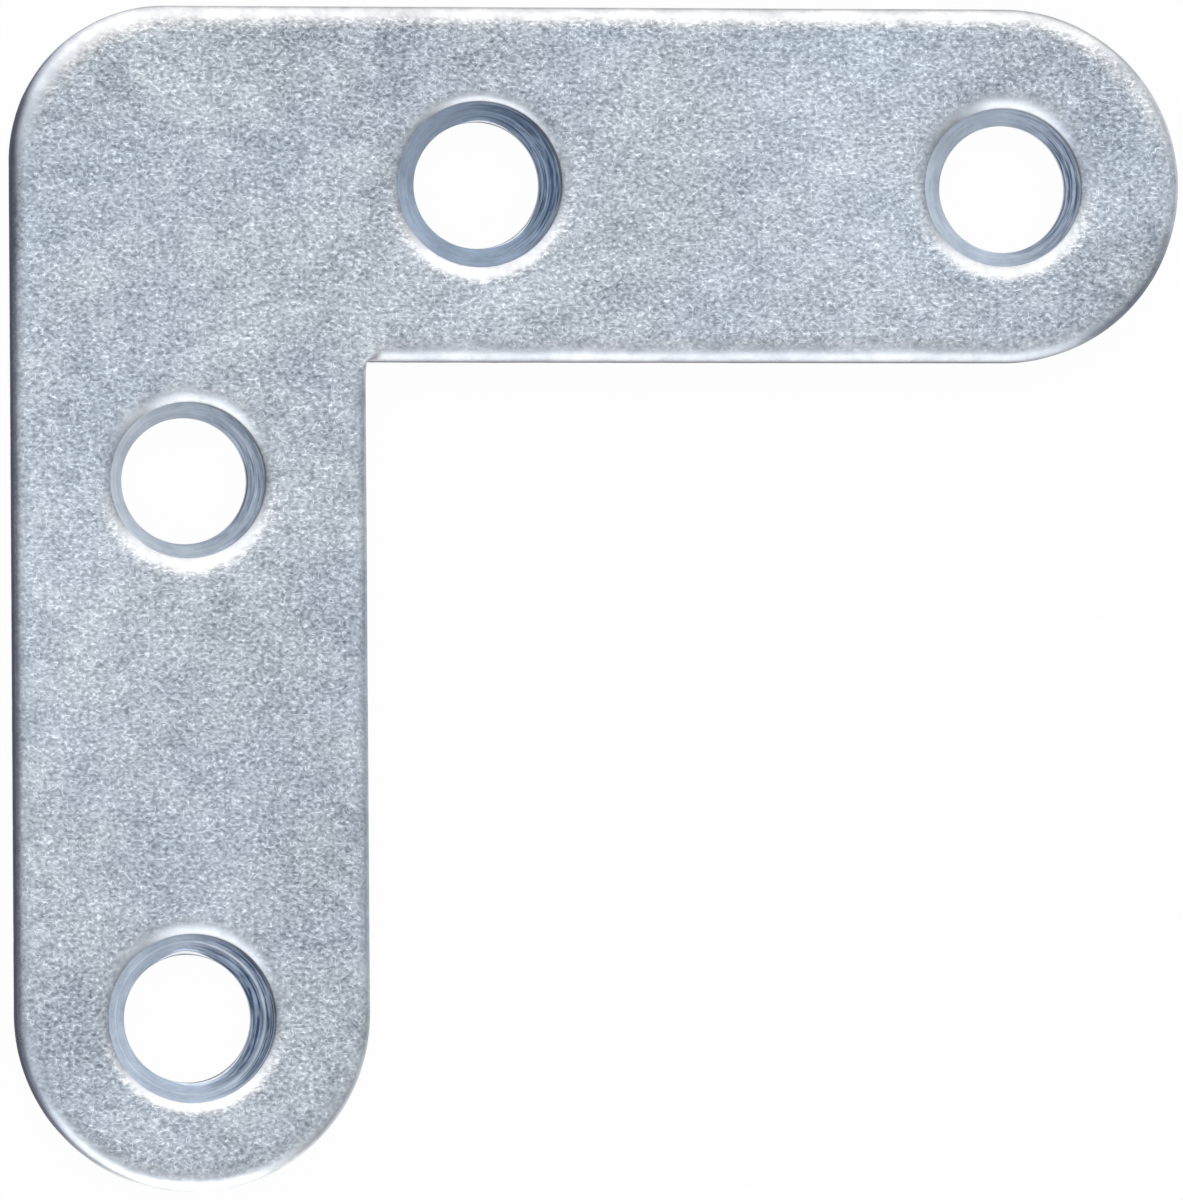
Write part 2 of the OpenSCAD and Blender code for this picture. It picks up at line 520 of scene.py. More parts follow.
class PressedHole:
    """One pressed hole, added to the shell ring by ring from the face to the back."""

    def __init__(self, shell, mount, seed):
        looks = HOLES[mount["name"]]
        nominal = np.array(mount["pos_m"][:2]) / MM
        self.shell, self.seed, self.looks = shell, seed, looks
        self.bore = nominal + looks["bore_off"]
        self.mouth = nominal + looks["mouth_off"]
        self.bore_r = mount["dims"]["r_mm"] + looks["bore_more"]
        self.mouth_r = looks["mouth_d"] / 2
        self.angle = -2 * math.pi * np.arange(HOLE_SEGMENTS) / HOLE_SEGMENTS
        self.ray = np.column_stack([np.cos(self.angle), np.sin(self.angle)])
        lip_side = math.radians(looks["lip_side"])
        self.lip = looks["lip"] + looks["lip_more"] * np.cos(self.angle - lip_side)
        self.mouth_z = THICKNESS - self.lip * math.tan(math.radians(LIP_SLOPE) / 2)
        widths = [width * towards(self.angle, side, narrow) for side, narrow, width in looks["ledges"]]
        self.ledge = LEDGE_LEAST + sum(widths)
        self.foot_r = self.bore_r + self.ledge
        self.slant = np.hypot(self.mouth_r - self.foot_r, self.mouth_z - LAND_TOP)
        # Painted shade in the mouth's crease, darkest on one side
        self.crease = towards(self.angle, CREASE_SIDE)
        # Painted shade round the wall, darker at the top left
        self.shade = looks["shade"] * (1 - looks["darker"] * towards(self.angle, DARKER_SIDE))
        self.rings = []

    def add_ring(self, radius, z, centred, lighter=0, **paints):
        """One ring, centred on the bore or, by a share, on the mouth."""
        centre = self.bore + (self.mouth - self.bore) * centred
        spot = centre + self.ray * np.reshape(radius, (-1, 1))
        # Painted light near the top of the wall
        shade = self.shade * (1 + lighter * strength_at(self.angle, TOP_LIGHT))
        ring = self.shell.add(spot[:, 0], spot[:, 1], z, shade=shade, pale=self.looks["pale"], **paints)
        self.rings.append(ring)

    def add_lip(self, path):
        """The rolled lip, from the face to the mouth."""
        slope = math.radians(LIP_SLOPE)
        smooth = 1 - LIP_GRAIN * np.cos(self.angle) ** 2
        for step in range(LIP_STEPS + 1):
            share = math.sin(step / LIP_STEPS * math.pi / 2)
            radius = self.mouth_r + self.lip * (1 - share)
            turn = math.asin(share * math.sin(slope))
            fall = (1 - math.cos(turn)) / (1 - math.cos(slope))
            drop = face_drop(self.mouth + self.ray * radius[:, None], path) * (1 - fall)
            z = THICKNESS + (self.mouth_z - THICKNESS) * fall - drop
            # Painted highlight grey on the lip where it faces along Y
            self.add_ring(radius, z, 1, ironed=share ** LIP_IRONING * smooth,
                          greyed=greyness(share, -np.sin(self.angle)),
                          crease=self.crease * past(share, CREASE_FROM))

    def add_countersink(self):
        """The steep wall from the mouth to the ledge, with the tool's lines and scoring; painted shade
        on its scored side, in its crease and at its foot, painted light near its top, and painted
        highlights.
        """
        looks = self.looks
        side_shade = looks["scored"] * towards(self.angle, looks["shaded_side"], SHADED_SIDE_NARROWNESS)
        highlights_side = towards(self.angle, looks["shaded_side"], LINE_HIGHLIGHT_NARROWNESS)
        for share in np.linspace(CONE_FROM, 1, CONE_STEPS + 1):
            places = [self.ray * TOOL_LINE_DRIFT, share * self.slant / TOOL_LINE_PITCH]
            line = fractal(np.column_stack(places), 1.0, self.seed) * looks["lines"]
            waver = TOOL_LINE_DEPTH * line * math.sin(share * math.pi)
            radius = self.mouth_r + (self.foot_r - self.mouth_r) * share + waver
            z = self.mouth_z + (LAND_TOP - self.mouth_z) * share
            ridge = looks["ridge"] * bell(share, RIDGE_PLACE, RIDGE_WIDTH)
            ridge_highlight = looks["ridge"] * bell(share, RIDGE_PLACE, RIDGE_HIGHLIGHT_WIDTH)
            # Painted shade on the scored side, cleared by the ridge; painted highlights on the lines
            # and the ridge
            scored = np.clip(side_shade * (1 - ridge) * (1 + SHADE_TOOL_LINES * line), 0, 1)
            line_highlights = np.clip(LINE_HIGHLIGHT_STRENGTH * line - LINE_HIGHLIGHT_LESS + ridge_highlight, 0, 1)
            bright = np.maximum(line_highlights * highlights_side, ridge_highlight * RIDGE_ALL_ROUND)
            # Painted shade below the mouth and at the foot of the wall
            crease = fading(share, CREASE_REACH) + FOOT_SHADE * past(share, FOOT_FROM)
            self.add_ring(radius, z, 1 - share, lighter=fading(share, TOP_LIGHT_REACH),
                          ironed=1, bore=1, slant=share * self.slant, scored=scored,
                          bright=bright, crease=self.crease * crease)

    def add_land(self):
        """The ledge, the straight land below it and the break-out at the back."""
        on_ledge = np.clip((self.ledge - LEDGE_LEAST) / LEDGE_FULL, 0, 1)
        wall = dict(ironed=1, bore=1, slant=self.slant)
        # The ledge carries a painted highlight, and the ring below its edge painted shade
        for share in (LEDGE_OUTER, LEDGE_EDGE):
            self.add_ring(self.bore_r + share * self.ledge, LAND_TOP, 0, bright=on_ledge, **wall)
        self.add_ring(self.bore_r, LAND_TOP - LEDGE_EDGE * self.ledge, 0, crease=on_ledge, **wall)
        self.add_ring(self.bore_r, BREAKOUT_HEIGHT, 0, **wall)
        middle_r = self.bore_r + BREAKOUT_FLARE * BREAKOUT_MIDDLE
        self.add_ring(middle_r, BREAKOUT_HEIGHT / 2, 0, bore=1, torn=1, slant=self.slant)
        self.add_ring(self.bore_r + BREAKOUT_FLARE, 0, 0, bore=BACK_RIM_PAINT, slant=self.slant)

    def join(self):
        """Joins the rings, and returns the first and the last of them."""
        for upper, lower in zip(self.rings, self.rings[1:]):
            self.shell.bridge(upper, lower)
        return self.rings[0], self.rings[-1]


def add_hole(shell, mount, path, seed):
    """One pressed hole from the face to the back. Returns its two rims."""
    hole = PressedHole(shell, mount, seed)
    hole.add_lip(path)
    hole.add_countersink()
    hole.add_land()
    return hole.join()


def plate_shell():
    """The whole plate as one closed surface."""
    shell = Shell()
    path, face_rim, back_rim = add_edge(shell)
    bores = [m for m in frame["record"]["mounts"] if m["kind"] == "bore"]
    rims = [add_hole(shell, mount, path, FIRST_HOLE_SEED + i) for i, mount in enumerate(bores)]
    face_holes = [face for face, _ in rims]
    back_holes = [back for _, back in rims]
    fill(shell, face_rim, face_holes, FACE_STEP, lambda p: THICKNESS - face_drop(p, path), True)
    fill(shell, back_rim, back_holes, BACK_STEP, lambda p: np.zeros(len(p)), False)
    return shell


class Nodes:
    """Short ways to add and link shader nodes."""

    def __init__(self, tree):
        self.tree = tree
        tree.nodes.clear()

    def add(self, kind, settings=None, **inputs):
        """Adds a node, with its settings and its inputs, whose names have _ for a space."""
        node = self.tree.nodes.new(kind)
        for name, value in (settings or {}).items():
            setattr(node, name, value)
        for name, value in inputs.items():
            self.set(node, name.replace("_", " "), value)
        return node

    def set(self, node, name, value):
        """Sets or links one input, given by its name or its number."""
        socket = node.inputs[int(name) if name.isdigit() else name]
        if isinstance(value, bpy.types.NodeSocket):
            self.tree.links.new(value, socket)
        else:
            socket.default_value = value


# Colours of the zinc on the faces: its bluer and greyer patches, and the painted highlight
# grey of what was pressed there
FACE_BLUE = (0.408, 0.464, 0.54)
FACE_GREY = (0.424, 0.469, 0.52)
HIGHLIGHT_GREY = (0.466, 0.468, 0.476)

# Colours in the bores: their bluer and paler walls, the painted shade of their scored side,
# and the painted shade in the crease of each mouth
BORE_BLUE = (0.37, 0.48, 0.64)
BORE_PALE = (0.41, 0.48, 0.575)
SCORED_SHADE_BLUE = (0.045, 0.08, 0.155)
# The colour of the painted shade in the creases
CREASE_SHADE_COLOUR = (0.12, 0.12, 0.11)

# Colour of the painted highlights on the roll, the wall and in the bores
PAINTED_HIGHLIGHT = (0.88, 0.91, 0.95)

# Colours of the burnished and the torn part of the side wall, seen straight and at a glance.
# The burnished part is painted dark as shade; the torn part is its own grey, lightened as
# painted light from the floor; at a glance both are painted shade on the wall's reflections.
BURNISHED_SHADE = (0.135, 0.15, 0.21)
TORN_GREY_AND_FLOOR_LIGHT = (0.42, 0.43, 0.47)
WALL_GLANCE_SHADE = (0.36, 0.37, 0.42)
TORN_GLANCE_SHADE = (0.85, 0.85, 0.9)

# Grain of the faces: its stretch along X, and the size, layers, fineness and depth of its
# relief. Sizes and depths here are in millimetres.
GRAIN_STRETCH = 1.25
GRAIN_SIZE = 0.19
GRAIN_DETAIL = 2.0
GRAIN_FINENESS = 0.55
GRAIN_DEPTH = 0.03

# How the zinc's brightness varies: specks, curled lines and mottle, each with its size and its
# contrast. The curls' width is a share of their noise's range. They break off in spots of
# their own size, and fade there over a range of that noise.
SPECK_SIZE = 0.145
SPECK_DETAIL = 0.0
SPECK_CONTRAST = 1.15
CURL_SIZE = 0.165
CURL_WIDTH = 0.08
CURL_BREAK = 0.2
CURL_BREAK_RANGE = (0.4, 0.6)
CURL_CONTRAST = 0.72
MOTTLE_SIZE = 1.2
MOTTLE_DETAIL = 2.0
MOTTLE_FINENESS = 0.8
MOTTLE_CONTRAST = 0.68

# Clouds in its brightness and its tint, which have half and all of this size, and the contrast
# of the first and the range of noise that the second goes through
CLOUD_SIZE = 5.0
CLOUD_DETAIL = 1.0
CLOUD_SHADE = 0.27
TINT_DETAIL = 2.0
TINT_RANGE = (0.35, 0.65)

# Where what was pressed loses its grain: from which share of ironing to which, and how much
# of the grain is left there
IRONING_RANGE = (0.03, 0.42)
IRONED_GRAIN = 0.1

# Roughness of the face, the share of it that ironing leaves, and what the torn wall adds
ROUGHNESS = 0.34
IRONED_ROUGHNESS = 0.85
TORN_ROUGHNESS = 0.2

# What is lighter is less blue: how strongly red and blue follow the brightness
SHADE_RED = 1.05
SHADE_BLUE = 0.94

# Streaks that the punch drew round the bores' walls: their length and width, their layers and
# fineness, how much they lighten and darken the wall, and how much they hide and stress its
# scoring and its painted shade, each with the range of the noise over which they do
STREAK_LENGTH = 1.3
STREAK_WIDTH = 0.19
STREAK_DETAIL = 2.0
STREAK_FINENESS = 0.6
STREAK_SHADES = (1.08, 0.92)
STREAK_SHADE_RANGE = (0.35, 0.65)
STREAK_SCORED_SHADES = (0.5, 1.25)
STREAK_SCORED_SHADE_RANGE = (0.38, 0.6)


def mapped(n, value, low, high, from_low=0.0, from_high=1.0, kind="LINEAR"):
    """A value moved from one range to another."""
    node = n.add("ShaderNodeMapRange", {"clamp": True, "interpolation_type": kind}, Value=value)
    n.set(node, "From Min", from_low)
    n.set(node, "From Max", from_high)
    n.set(node, "To Min", low)
    n.set(node, "To Max", high)
    return node.outputs["Result"]


def maths(n, operation, first, second=0.0, third=0.0):
    """One step of arithmetic."""
    node = n.add("ShaderNodeMath", {"operation": operation})
    for number, value in enumerate((first, second, third)):
        n.set(node, str(number), value)
    return node.outputs[0]


def blended(n, share, first, second, blend="MIX"):
    """Two colours mixed, or one laid over the other."""
    node = n.add("ShaderNodeMix", {"data_type": "RGBA", "blend_type": blend, "clamp_result": False})
    n.set(node, "0", share)
    for number, value in (("6", first), ("7", second)):
        n.set(node, number, (*value, 1) if isinstance(value, tuple) else value)
    return node.outputs[2]


def painted(n, name):
    """What the mesh carries under that name."""
    return n.add("ShaderNodeAttribute", {"attribute_name": name}).outputs["Fac"]


def scaled(n, place, scale):
    """A place with each of its parts scaled."""
    node = n.add("ShaderNodeMapping", Vector=place)
    n.set(node, "Scale", scale)
    return node.outputs["Vector"]


def noise_value(n, place, size, detail=0.0, fineness=0.5):
    """Noise of that size, between 0 and 1, with so many finer layers, that strong."""
    return n.add("ShaderNodeTexNoise", Vector=place, Scale=1 / size, Detail=detail,
                 Roughness=fineness).outputs["Fac"]


def around_zero(n, value, contrast):
    """A value between 0 and 1 as one to both sides of 0, with that contrast."""
    return maths(n, "MULTIPLY", maths(n, "SUBTRACT", value, 0.5), contrast)


# Scratches in the grain: middle, length and width of each, its direction in degrees from +X,
# and how much brighter it is
SCRATCHES = (
    dict(middle=(-4.05, -39.9), length=1.1, width=0.11, turn=-12, adds=0.6),
    dict(middle=(-3.2, -40.4), length=0.7, width=0.1, turn=-25, adds=0.55),
    dict(middle=(-2.6, -41.3), length=0.5, width=0.1, turn=12, adds=0.5),
    dict(middle=(0.35, -19.4), length=0.9, width=0.06, turn=4, adds=0.4),
    dict(middle=(-1.5, -19.3), length=0.6, width=0.06, turn=-8, adds=0.35),
    dict(middle=(4.4, -31.0), length=0.5, width=0.07, turn=70, adds=0.4),
    dict(middle=(-0.1, 2.55), length=0.55, width=0.07, turn=0, adds=0.5),
    dict(middle=(12.9, 4.2), length=0.5, width=0.06, turn=-5, adds=0.5),
    dict(middle=(2.9, -31.4), length=1.2, width=0.08, turn=8, adds=0.35),
    dict(middle=(4.45, -35.5), length=0.8, width=0.05, turn=0, adds=0.45),
    dict(middle=(-4.4, 4.5), length=0.9, width=0.06, turn=-3, adds=0.4),
    dict(middle=(2.9, 5.5), length=0.6, width=0.06, turn=10, adds=0.4),
    dict(middle=(15.6, 3.5), length=0.8, width=0.05, turn=-3, adds=0.45),
    dict(middle=(8.5, 3.0), length=0.5, width=0.06, turn=20, adds=0.4),
    dict(middle=(17.2, -2.0), length=0.7, width=0.06, turn=-20, adds=0.35),
)

# The shares of a scratch's half size between which it fades
SCRATCH_EDGE = (0.5, 1.1)

# Broad patches lighter or darker: some are the coating's own uneven tone, others painted shade
# and painted highlight round the holes and along the edges. Middle and reach of each, and how
# much brighter it is
TONE_AND_SHADE_PATCHES = (
    dict(middle=(28.0, 0.0), reach=(7.5, 12.0), adds=0.1),
    dict(middle=(12.0, -5.5), reach=(3.5, 3.0), adds=0.12),
    dict(middle=(7.5, 6.0), reach=(9.0, 4.5), adds=-0.12),
    dict(middle=(4.0, 6.0), reach=(2.5, 3.0), adds=-0.06),
    dict(middle=(36.5, 6.5), reach=(4.5, 3.5), adds=-0.12),
    dict(middle=(-5.5, -18.0), reach=(4.5, 7.5), adds=0.08),
    dict(middle=(-5.5, -35.5), reach=(4.0, 6.0), adds=-0.1),
    dict(middle=(4.5, -19.5), reach=(3.0, 4.0), adds=-0.06),
    dict(middle=(5.5, -27.5), reach=(3.5, 5.0), adds=-0.07),
    dict(middle=(-4.3, -35.0), reach=(2.2, 3.6), adds=-0.1),
    dict(middle=(23.5, 6.3), reach=(7.0, 3.2), adds=-0.08),
    dict(middle=(6.5, 2.3), reach=(2.5, 2.5), adds=-0.05),
    dict(middle=(-2.3, -27.3), reach=(3.0, 4.0), adds=0.06),
    dict(middle=(8.4, 0.8), reach=(2.2, 3.4), adds=-0.12),
    dict(middle=(12.2, 4.9), reach=(3.2, 1.7), adds=-0.14),
    dict(middle=(34.2, 4.7), reach=(3.0, 1.5), adds=-0.07),
    dict(middle=(38.8, -0.3), reach=(1.8, 3.0), adds=0.09),
    dict(middle=(16.6, -0.5), reach=(1.8, 3.0), adds=0.13),
    dict(middle=(4.3, -12.6), reach=(1.8, 3.0), adds=0.12),
    dict(middle=(39.0, -4.6), reach=(4.2, 4.2), adds=-0.17),
    dict(middle=(39.6, 3.6), reach=(3.0, 3.6), adds=-0.13),
    dict(middle=(-4.3, 4.3), reach=(3.4, 3.4), adds=-0.07),
    dict(middle=(41.5, -3.6), reach=(1.5, 2.8), adds=-0.26),
    dict(middle=(42.0, 0.2), reach=(0.6, 2.0), adds=-0.14),
    dict(middle=(38.3, -6.6), reach=(1.8, 0.9), adds=0.16),
    dict(middle=(-5.9, -39.9), reach=(0.9, 1.0), adds=-0.12),
    dict(middle=(-7.0, -37.6), reach=(0.6, 2.6), adds=0.2),
    dict(middle=(-7.35, -0.8), reach=(0.55, 5.5), adds=-0.26),
    dict(middle=(-3.75, -35.0), reach=(0.8, 1.8), adds=-0.12),
    dict(middle=(-2.5, -32.6), reach=(0.8, 0.8), adds=0.2),
    dict(middle=(-2.4, -10.1), reach=(0.8, 0.8), adds=0.14),
    dict(middle=(15.0, 2.6), reach=(1.1, 1.1), adds=-0.2),
    dict(middle=(12.3, -3.95), reach=(2.4, 0.6), adds=-0.08),
)

# Scratches and patches are far taller than the plate is thick, so its waves don't move them
OVAL_HEIGHT = 100 * THICKNESS

# Fainter marks all over, from rubbing along X: their length, width, layers and brightness, how
# rare they are and how softly they end
SCUFF_LENGTH = 0.8
SCUFF_WIDTH = 0.09
SCUFF_DETAIL = 1.0
SCUFF_SHADE = 0.38
SCUFF_RARITY = 0.68
SCUFF_SOFTNESS = 0.08

# Painted shade across the arm along -Y: it is lighter on its left and darker on its right
ARM_SHADE = 0.06


def soft_spot(n, spot, middle, size, full, none, turn=0):
    """1 in the core of an oval of that half size, up to a share of it, fading to 0."""
    oval = n.add("ShaderNodeMapping", {"vector_type": "TEXTURE"}, Vector=spot)
    n.set(oval, "Location", (*middle, 0))
    n.set(oval, "Rotation", (0, 0, math.radians(turn)))
    n.set(oval, "Scale", (*size, OVAL_HEIGHT))
    off = n.add("ShaderNodeVectorMath", {"operation": "LENGTH"})
    n.set(off, "0", oval.outputs["Vector"])
    return mapped(n, off.outputs["Value"], 1.0, 0.0, full, none, "SMOOTHSTEP")


def scuffs(n, spot):
    """Brightness that the scratches and the faint rubbed marks add."""
    stretched = scaled(n, spot, (1 / SCUFF_LENGTH, 1 / SCUFF_WIDTH, 1))
    marks = noise_value(n, stretched, 1.0, SCUFF_DETAIL)
    fully = SCUFF_RARITY + SCUFF_SOFTNESS
    total = mapped(n, marks, 0.0, SCUFF_SHADE, SCUFF_RARITY, fully, "SMOOTHSTEP")
    for scratch in SCRATCHES:
        size = (scratch["length"] / 2, scratch["width"] / 2)
        mark = soft_spot(n, spot, scratch["middle"], size, *SCRATCH_EDGE, scratch["turn"])
        total = maths(n, "MULTIPLY_ADD", mark, scratch["adds"], total)
    return total


def broad_shade(n, spot, clouds):
    """How much brighter or darker each place is: the clouds, the patches of tone and of painted
    shade and highlight, and the arm's painted shade.
    """
    place = n.add("ShaderNodeSeparateXYZ", Vector=spot).outputs
    # Painted shade across the arm along -Y
    across = mapped(n, place["X"], ARM_SHADE, -ARM_SHADE, -HALF_WIDTH, HALF_WIDTH)
    on_arm = mapped(n, place["Y"], 1.0, 0.0, -2 * HALF_WIDTH, -HALF_WIDTH / 2)
    total = maths(n, "MULTIPLY_ADD", across, on_arm, around_zero(n, clouds, CLOUD_SHADE))
    # Patches of the coating's tone and of painted shade and highlight
    for patch in TONE_AND_SHADE_PATCHES:
        share = soft_spot(n, spot, patch["middle"], patch["reach"], 0.0, 1.0)
        total = maths(n, "MULTIPLY_ADD", share, patch["adds"], total)
    return total


def zinc_shade(n, spot, grain_spot, open_grain):
    """How bright the zinc is at each place: its grain, its marks, and its broad patches of tone
    and of painted shade and highlight.
    """
    specks = around_zero(n, noise_value(n, grain_spot, SPECK_SIZE, SPECK_DETAIL), SPECK_CONTRAST)
    curls = maths(n, "SUBTRACT", noise_value(n, grain_spot, CURL_SIZE), 0.5)
    curls = maths(n, "ABSOLUTE", curls)
    curls = mapped(n, curls, CURL_CONTRAST, 0.0, 0.0, CURL_WIDTH, "SMOOTHSTEP")
    breaks = noise_value(n, grain_spot, CURL_BREAK)
    breaks = mapped(n, breaks, 0.0, 1.0, *CURL_BREAK_RANGE, "SMOOTHSTEP")
    curls = maths(n, "MULTIPLY", curls, breaks)
    specks = maths(n, "MULTIPLY", maths(n, "ADD", specks, curls), open_grain)
    mottle = noise_value(n, grain_spot, MOTTLE_SIZE, MOTTLE_DETAIL, MOTTLE_FINENESS)
    mottle = around_zero(n, mottle, MOTTLE_CONTRAST)
    shade = maths(n, "ADD", maths(n, "ADD", specks, mottle), 1.0)
    shade = maths(n, "ADD", shade, maths(n, "MULTIPLY", scuffs(n, spot), open_grain))
    clouds = noise_value(n, grain_spot, CLOUD_SIZE / 2, CLOUD_DETAIL)
    return maths(n, "ADD", shade, broad_shade(n, spot, clouds))


def tinted(n, shade):
    """A brightness as a colour."""
    node = n.add("ShaderNodeCombineColor", Green=shade)
    n.set(node, "Red", maths(n, "POWER", shade, SHADE_RED))
    n.set(node, "Blue", maths(n, "POWER", shade, SHADE_BLUE))
    return node.outputs["Color"]


def face_colour(n, grain_spot):
    """The zinc of the faces, painted greyer as highlight where it was pressed."""
    tint = noise_value(n, grain_spot, CLOUD_SIZE, TINT_DETAIL)
    face = blended(n, mapped(n, tint, 0.0, 1.0, *TINT_RANGE), FACE_BLUE, FACE_GREY)
    # Painted highlight grey on the pressed slopes
    return blended(n, painted(n, "greyed"), face, HIGHLIGHT_GREY)


def streak_place(n, spot):
    """Where in the noise each point of a bore's wall lies: long along the wall's rings."""
    along = n.add("ShaderNodeVectorMath", {"operation": "MULTIPLY"})
    n.set(along, "0", spot)
    n.set(along, "1", (1 / STREAK_LENGTH, 1 / STREAK_LENGTH, 0.0))
    down = maths(n, "MULTIPLY", painted(n, "slant"), 1 / STREAK_WIDTH)
    place = n.add("ShaderNodeVectorMath", {"operation": "ADD"})
    n.set(place, "0", along.outputs[0])
    n.set(place, "1", n.add("ShaderNodeCombineXYZ", Z=down).outputs[0])
    return place.outputs[0]


def bore_colour(n, spot):
    """The zinc of the bores' walls, streaked, and painted dark as shade where the tool scored it."""
    streaks = noise_value(n, streak_place(n, spot), 1.0, STREAK_DETAIL, STREAK_FINENESS)
    streak_shade = mapped(n, streaks, *STREAK_SHADES, *STREAK_SHADE_RANGE)
    streak_scored_shade = mapped(n, streaks, *STREAK_SCORED_SHADES, *STREAK_SCORED_SHADE_RANGE)
    lit = n.add("ShaderNodeVectorMath", {"operation": "SCALE"})
    n.set(lit, "0", blended(n, painted(n, "pale"), BORE_BLUE, BORE_PALE))
    # The wall's painted shade, streaked
    n.set(lit, "Scale", maths(n, "MULTIPLY", painted(n, "shade"), streak_shade))
    # Painted shade where the tool scored the wall
    scored = maths(n, "MULTIPLY", painted(n, "scored"), streak_scored_shade)
    return blended(n, scored, lit.outputs[0], SCORED_SHADE_BLUE)


def zinc_material():
    """Zinc-plated steel: fine matt grain on the faces, ironed smooth on what was pressed."""
    material = bpy.data.materials.new("zinc_plate")
    material.use_nodes = True
    n = Nodes(material.node_tree)
    spot = scaled(n, n.add("ShaderNodeTexCoord").outputs["Object"], (1 / MM, 1 / MM, 1 / MM))
    grain_spot = scaled(n, spot, (1 / GRAIN_STRETCH, 1, 1))
    ironed, wall, torn = (painted(n, name) for name in ("ironed", "wall", "torn"))
    open_grain = mapped(n, ironed, 1.0, IRONED_GRAIN, *IRONING_RANGE)

    colour = blended(n, painted(n, "bore"), face_colour(n, grain_spot), bore_colour(n, spot))
    # Painted highlights wherever the bright paint lies
    colour = blended(n, painted(n, "bright"), colour, PAINTED_HIGHLIGHT)
    # Side wall: burnished part painted dark as shade, torn part its own grey with painted floor light
    colour = blended(n, wall, colour, blended(n, torn, BURNISHED_SHADE, TORN_GREY_AND_FLOOR_LIGHT))
    # Painted shade in the creases of the mouths, at the foot of the bores and under the ledges
    colour = blended(n, painted(n, "crease"), colour, CREASE_SHADE_COLOUR)
    shade = zinc_shade(n, spot, grain_spot, open_grain)
    colour = blended(n, 1.0, colour, tinted(n, shade), "MULTIPLY")

    roughness = mapped(n, ironed, ROUGHNESS, ROUGHNESS * IRONED_ROUGHNESS)
    roughness = maths(n, "ADD", roughness, maths(n, "MULTIPLY", torn, TORN_ROUGHNESS))
    grain = noise_value(n, grain_spot, GRAIN_SIZE, GRAIN_DETAIL, GRAIN_FINENESS)
    bump = n.add("ShaderNodeBump", Height=grain, Strength=open_grain, Distance=GRAIN_DEPTH * MM)
    # Painted shade on the side wall's reflections at a glance
    glance_shade = blended(n, torn, WALL_GLANCE_SHADE, TORN_GLANCE_SHADE)

    shader = n.add("ShaderNodeBsdfPrincipled", Metallic=1.0, Roughness=roughness)
    n.set(shader, "Base Color", colour)
    n.set(shader, "Specular Tint", blended(n, wall, (1.0, 1.0, 1.0), glance_shade))
    n.set(shader, "Normal", bump.outputs["Normal"])
    out = n.add("ShaderNodeOutputMaterial")
    n.set(out, "Surface", shader.outputs["BSDF"])
    return material


# The floor: its half size in metres and how far below the plate it lies, in millimetres; how
# white the camera sees it whatever falls on it, how white reflections see it, how much of that
# is left on the plate's left, where a painted shade darkens it for reflections only, and over
# how many millimetres it comes back; and its own grey, which lights what is near
FLOOR_HALF = 1.5
FLOOR_GAP = 0.02
FLOOR_WHITE = 0.97
FLOOR_GLOW = 0.95
FLOOR_LEFT_GLOW = 0.0
FLOOR_FADE = 3.0
FLOOR_GREY = (0.55, 0.55, 0.55, 1)


def floor_material():
    """A white floor that the camera and reflections see bright, with the part's faint shadow, and
    a painted shade on the plate's left that only reflections see.
    """
    material = bpy.data.materials.new("white_floor")
    material.use_nodes = True
    n = Nodes(material.node_tree)
    rays = n.add("ShaderNodeLightPath").outputs
    mirrored = maths(n, "MAXIMUM", rays["Is Glossy Ray"], rays["Is Transmission Ray"])
    place = n.add("ShaderNodeTexCoord").outputs["Object"]
    across = n.add("ShaderNodeSeparateXYZ", Vector=place).outputs["X"]
    left_edge = plate_low[0] * MM
    # Painted shade on the plate's left, seen only in reflections
    beside = mapped(n, across, FLOOR_LEFT_GLOW, FLOOR_GLOW, left_edge, left_edge + FLOOR_FADE * MM)
    share = maths(n, "MAXIMUM", maths(n, "MULTIPLY", rays["Is Camera Ray"], FLOOR_WHITE),
                  maths(n, "MULTIPLY", mirrored, beside))
    matt = n.add("ShaderNodeBsdfDiffuse", Color=FLOOR_GREY)
    bright = n.add("ShaderNodeEmission", Color=(1, 1, 1, 1), Strength=1.0)
    mix = n.add("ShaderNodeMixShader", Fac=share)
    n.set(mix, "1", matt.outputs["BSDF"])
    n.set(mix, "2", bright.outputs["Emission"])
    out = n.add("ShaderNodeOutputMaterial")
    n.set(out, "Surface", mix.outputs["Shader"])
    return material


def make_floor():
    """A plain pale floor just under the plate."""
    data = bpy.data.meshes.new("floor")
    corners = [(x * FLOOR_HALF, y * FLOOR_HALF, 0) for x, y in ((-1, -1), (1, -1), (1, 1), (-1, 1))]
    data.from_pydata(corners, [], [(0, 1, 2, 3)])
    floor = bpy.data.objects.new("floor", data)
    floor.location.z = -FLOOR_GAP * MM
    data.materials.append(floor_material())
    bpy.context.scene.collection.objects.link(floor)
    return floor


# The studio: how bright it is at the horizon and overhead, and from what elevation on it is
# as bright as overhead. Its soft panels: the direction and half width of each, the elevations
# it spans, over how many degrees its sides and its top fade, and what it adds. All panels'
# lower edges fade over the same number of degrees.
HORIZON_LEVEL = 0.28
OVERHEAD_LEVEL = 0.872
OVERHEAD_FROM = 56
PANELS = (
    dict(azimuth=92, half_width=38, low=0, high=50, side_fade=30, top_fade=28, adds=1.63),
    dict(azimuth=-100, half_width=34, low=-4, high=32, side_fade=22, top_fade=28, adds=1.7),
    dict(azimuth=12, half_width=26, low=-10, high=45, side_fade=30, top_fade=20, adds=0.3),
)
BOTTOM_FADE = 12


